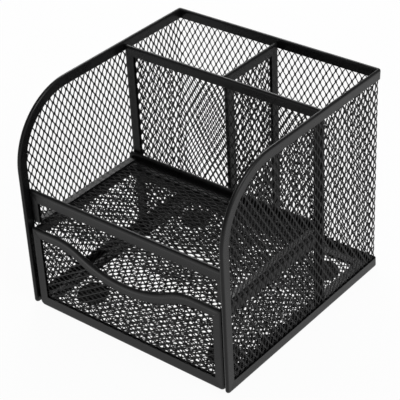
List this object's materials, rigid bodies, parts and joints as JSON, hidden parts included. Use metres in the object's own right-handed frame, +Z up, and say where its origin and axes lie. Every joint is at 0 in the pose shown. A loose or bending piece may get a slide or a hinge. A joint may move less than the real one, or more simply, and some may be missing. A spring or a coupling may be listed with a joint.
{
  "type": "mesh desk organizer with drawer",
  "caption": "Square mesh pen stand with swept sides: deep pen wells behind, an open tray in front, and a mesh drawer with a finger dip sliding in under the tray.",
  "frame": {"origin": "Centre of the footprint, on the table that the stand rests on.", "axes": "+X to the right, +Y to the back, +Z up. The drawer opens towards -Y."},
  "size_m": [0.14, 0.142, 0.13],
  "materials": {
    "edging": "satin black powder coat",
    "net": "satin black powder coat",
    "foot": "matte black foam rubber"
  },
  "bodies": {
    "housing": {"left_side_mesh": "net", "right_side_mesh": "net", "back_mesh": "net", "base_mesh": "net", "left_side_rim": "edging", "right_side_rim": "edging", "back_top_rim": "edging", "left_base_rim": "edging", "right_base_rim": "edging", "back_base_rim": "edging", "base_front_sill": "edging", "base_left_edging": "edging", "base_right_edging": "edging", "base_rear_edging": "edging", "left_front_foot": "foot", "right_front_foot": "foot", "left_rear_foot": "foot", "right_rear_foot": "foot", "divider_mesh": "net", "divider_top_rail": "edging", "divider_left_stile": "edging", "divider_right_stile": "edging", "short_divider_mesh": "net", "short_divider_top_rail": "edging", "short_divider_front_stile": "edging", "short_divider_rear_stile": "edging", "tray_shelf_mesh": "net", "tray_left_edging": "edging", "tray_right_edging": "edging", "tray_rear_edging": "edging", "tray_wall_mesh": "net", "tray_wall_top_rail": "edging", "tray_wall_left_stile": "edging", "tray_wall_right_stile": "edging"},
    "drawer": {"drawer_front_mesh": "net", "drawer_front_top_rim": "edging", "drawer_front_bottom_rail": "edging", "drawer_front_left_stile": "edging", "drawer_front_right_stile": "edging", "drawer_floor_mesh": "net", "drawer_left_mesh": "net", "drawer_right_mesh": "net", "drawer_back_mesh": "net", "drawer_left_rim": "edging", "drawer_right_rim": "edging", "drawer_back_rim": "edging"}
  },
  "joints": [
    {"name": "drawer_slide", "type": "slide", "parent": "housing", "child": "drawer", "axis": [0, -1, 0], "range_m": [0, 0.065]}
  ]
}
